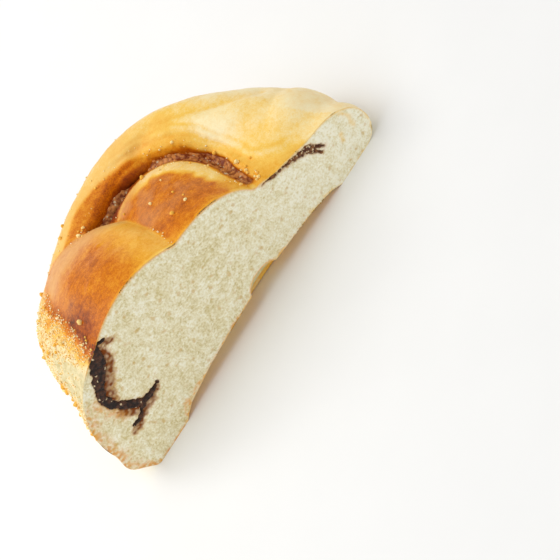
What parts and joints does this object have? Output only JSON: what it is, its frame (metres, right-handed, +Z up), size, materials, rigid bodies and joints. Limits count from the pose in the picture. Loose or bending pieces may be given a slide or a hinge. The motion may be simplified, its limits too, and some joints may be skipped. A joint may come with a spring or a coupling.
{
  "type": "streusel bun",
  "caption": "Half of a round filled streusel bun, cut straight through: golden lobes and a wound strand of crust, pale crumb, a dark filling layer and pale streusel grains.",
  "frame": {"origin": "middle of the bun's outline on the plane of its flat underside", "axes": "+X along the cut to the right as the cut face is looked at, +Y from the cut face into the bun, +Z up"},
  "size_m": [0.1224, 0.0649, 0.0461],
  "materials": {
    "crust": "baked crust with a soft sheen over pale matte crumb",
    "spiced_sugar": "moist grainy dark brown sugar and spice layer"
  },
  "bodies": {
    "root": {"dough": "crust", "filling": "spiced_sugar"}
  },
  "joints": []
}
